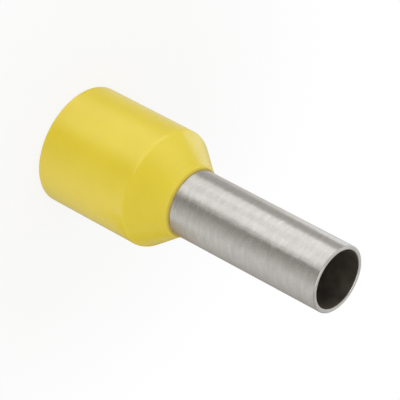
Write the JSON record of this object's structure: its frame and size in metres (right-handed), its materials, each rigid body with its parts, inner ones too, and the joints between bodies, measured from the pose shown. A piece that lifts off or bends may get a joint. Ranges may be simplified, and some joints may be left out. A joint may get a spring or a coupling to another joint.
{
  "type": "wire ferrule",
  "caption": "Insulated ferrule for the end of a stranded wire: a thin metal tube with a flared end, held in a moulded collar with a conical shoulder.",
  "frame": {"origin": "centre of the collar's open mouth, on the surface it stands on", "axes": "+Z along the axis, from the collar's mouth to the tube's tip"},
  "size_m": [0.0072, 0.0072, 0.019],
  "materials": {
    "collar": "satin moulded",
    "tube": "bright tin plate with fine turning marks"
  },
  "bodies": {
    "root": {"insulating_collar": "collar", "ferrule_tube": "tube"}
  },
  "joints": []
}
